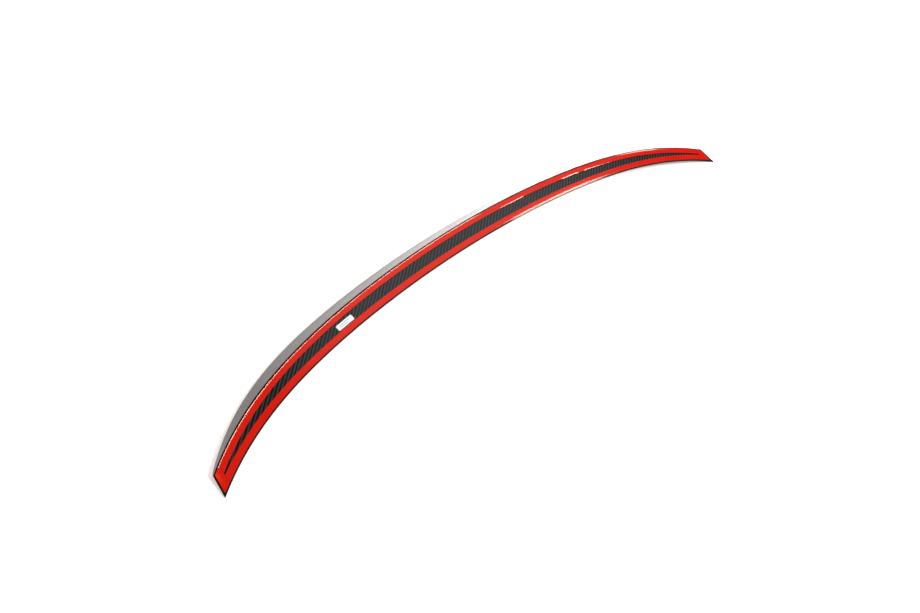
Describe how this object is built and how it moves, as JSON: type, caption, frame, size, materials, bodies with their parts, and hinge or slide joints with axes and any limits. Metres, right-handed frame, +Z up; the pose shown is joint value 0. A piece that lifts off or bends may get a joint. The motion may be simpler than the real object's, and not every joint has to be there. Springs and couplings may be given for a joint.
{
  "type": "car rear lip spoiler",
  "caption": "Crescent-shaped carbon-fibre lip spoiler for a car's boot lid, shown lying upside down with lined bonding tape along its mounting face.",
  "frame": {"origin": "on the floor under the middle of the bounding box, in the lying pose of the picture", "axes": "+X along the length, +Y towards the trailing lip, +Z up; the bonding face looks up and is pitched about 10 degrees, its front edge lower"},
  "size_m": [1.125, 0.2153, 0.035],
  "materials": {
    "carbon_body": "twill carbon laminate under gloss clear coat",
    "tape_foam": "dark grey acrylic foam",
    "liner_film": "satin red release film",
    "label_film": "white matt sticker with plain grey bars"
  },
  "bodies": {
    "root": {"spoiler_body": "carbon_body", "blank_label": "label_film", "front_foam_tape": "tape_foam", "rear_foam_tape": "tape_foam", "left_end_foam_tape": "tape_foam", "right_end_foam_tape": "tape_foam", "front_tape_liner": "liner_film", "rear_tape_liner": "liner_film", "left_end_tape_liner": "liner_film", "right_end_tape_liner": "liner_film"}
  },
  "joints": []
}
